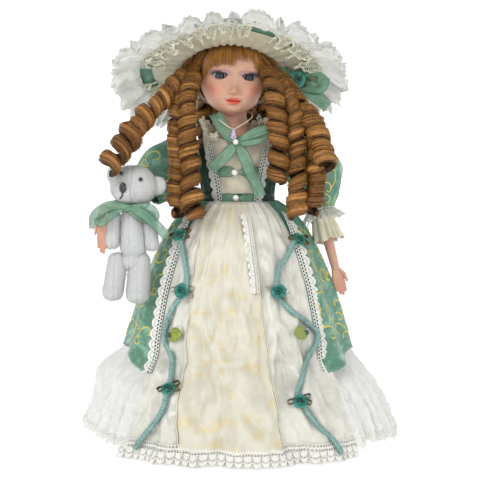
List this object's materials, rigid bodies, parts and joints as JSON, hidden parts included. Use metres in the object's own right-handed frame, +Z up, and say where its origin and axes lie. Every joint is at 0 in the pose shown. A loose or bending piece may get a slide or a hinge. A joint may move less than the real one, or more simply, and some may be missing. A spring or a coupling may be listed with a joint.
{
  "type": "porcelain doll",
  "caption": "Dressed porcelain doll in a green and ivory gown and ruffled sun hat, on a rod stand, with a small jointed plush bear hanging from its wrist.",
  "frame": {"origin": "on the floor under the middle of the skirt, on the underside of the stand's base", "axes": "+Z up, -Y the way the doll faces, +X towards the doll's left hand"},
  "size_m": [0.29, 0.2915, 0.3968],
  "materials": {
    "white_enamel": "gloss",
    "steel": "satin",
    "linen": "matte",
    "bisque": "matte",
    "glass_eye": "gloss",
    "card": "matte",
    "shoe_leather": "satin",
    "hair": "satin",
    "cotton": "matte",
    "ivory_satin": "satin",
    "green_brocade": "satin",
    "white_organza": "satin",
    "white_lace": "matte",
    "cream_lace": "matte",
    "green_organza": "satin",
    "pearl": "gloss",
    "chenille": "matte",
    "teal_satin": "satin",
    "olive_satin": "satin",
    "gilt_beads": "gloss",
    "crystal": "gloss",
    "plush": "matte",
    "black_plastic": "gloss"
  },
  "bodies": {
    "stand": {"stand_base": "white_enamel", "stand_tube": "steel"},
    "doll": {"stand_rod": "steel", "stand_clip": "steel", "torso": "linen", "head_and_shoulder_plate": "bisque", "glass_eyes": "glass_eye", "head_pate": "card", "wig_cap": "hair", "fringe": "hair", "right_curls": "hair", "left_curls": "hair", "back_curls": "hair", "petticoat": "cotton", "bodice": "ivory_satin", "skirt_front": "ivory_satin", "overskirt": "green_brocade", "flounce": "white_organza", "waist_sash": "green_brocade", "hem_lace": "white_lace", "panel_lace": "white_lace", "bodice_lace": "white_lace", "collar_lace": "cream_lace", "bodice_ribbons": "green_organza", "neck_bow": "green_organza", "pearls": "pearl", "right_garland": "chenille", "left_garland": "chenille", "roses": "teal_satin", "leaf_buds": "olive_satin", "necklace_chain": "gilt_beads", "pendant": "crystal"},
    "right_arm": {"right_upper_arm": "linen", "right_forearm": "bisque", "right_sleeve": "green_brocade", "right_cuff": "cream_lace"},
    "left_arm": {"left_upper_arm": "linen", "left_forearm": "bisque", "left_sleeve": "green_brocade", "left_cuff": "cream_lace"},
    "right_leg": {"right_upper_leg": "linen", "right_lower_leg": "bisque", "right_shoe": "shoe_leather"},
    "left_leg": {"left_upper_leg": "linen", "left_lower_leg": "bisque", "left_shoe": "shoe_leather"},
    "hat": {"hat": "green_brocade", "hat_lining": "ivory_satin", "hat_ruffle": "white_organza", "hat_lace": "cream_lace", "hat_bow": "green_organza", "hat_rose": "teal_satin"},
    "bear": {"bear_body": "plush", "bear_head": "plush", "bear_face": "black_plastic", "bear_ribbon": "green_organza"},
    "bear_right_arm_body": {"bear_right_arm": "plush"},
    "bear_left_arm_body": {"bear_left_arm": "plush"},
    "bear_right_leg_body": {"bear_right_leg": "plush"},
    "bear_left_leg_body": {"bear_left_leg": "plush"}
  },
  "joints": [
    {"name": "stand_height", "type": "slide", "parent": "stand", "child": "doll", "axis": [0, 0, 1], "range_m": [0, 0.012]},
    {"name": "right_arm_raise", "type": "hinge", "parent": "doll", "child": "right_arm", "pos_m": [-0.04, 0.002, 0.266], "axis": [0, 1, 0], "range_deg": [0, 4]},
    {"name": "left_arm_raise", "type": "hinge", "parent": "doll", "child": "left_arm", "pos_m": [0.04, 0.002, 0.266], "axis": [0, -1, 0], "range_deg": [0, 25]},
    {"name": "right_leg_swing", "type": "hinge", "parent": "doll", "child": "right_leg", "pos_m": [-0.016, 0, 0.186], "axis": [-1, 0, 0], "range_deg": [-8, 20]},
    {"name": "left_leg_swing", "type": "hinge", "parent": "doll", "child": "left_leg", "pos_m": [0.016, 0, 0.186], "axis": [-1, 0, 0], "range_deg": [-8, 20]},
    {"name": "hat_lift", "type": "slide", "parent": "doll", "child": "hat", "axis": [0, 0.454, 0.891], "range_m": [0, 0.07]},
    {"name": "bear_swing", "type": "hinge", "parent": "right_arm", "child": "bear", "pos_m": [-0.1234, -0.054, 0.2225], "axis": [-1, 0, 0], "range_deg": [-2, 3]},
    {"name": "bear_right_arm_swing", "type": "hinge", "parent": "bear", "child": "bear_right_arm_body", "pos_m": [-0.1145, -0.056, 0.209], "axis": [-1, 0, 0], "range_deg": [0, 30]},
    {"name": "bear_left_arm_swing", "type": "hinge", "parent": "bear", "child": "bear_left_arm_body", "pos_m": [-0.08, -0.056, 0.21], "axis": [-1, 0, 0], "range_deg": [0, 30]},
    {"name": "bear_right_leg_swing", "type": "hinge", "parent": "bear", "child": "bear_right_leg_body", "pos_m": [-0.11, -0.056, 0.17], "axis": [-1, 0, 0], "range_deg": [-5, 30]},
    {"name": "bear_left_leg_swing", "type": "hinge", "parent": "bear", "child": "bear_left_leg_body", "pos_m": [-0.088, -0.056, 0.17], "axis": [-1, 0, 0], "range_deg": [-5, 30]}
  ]
}
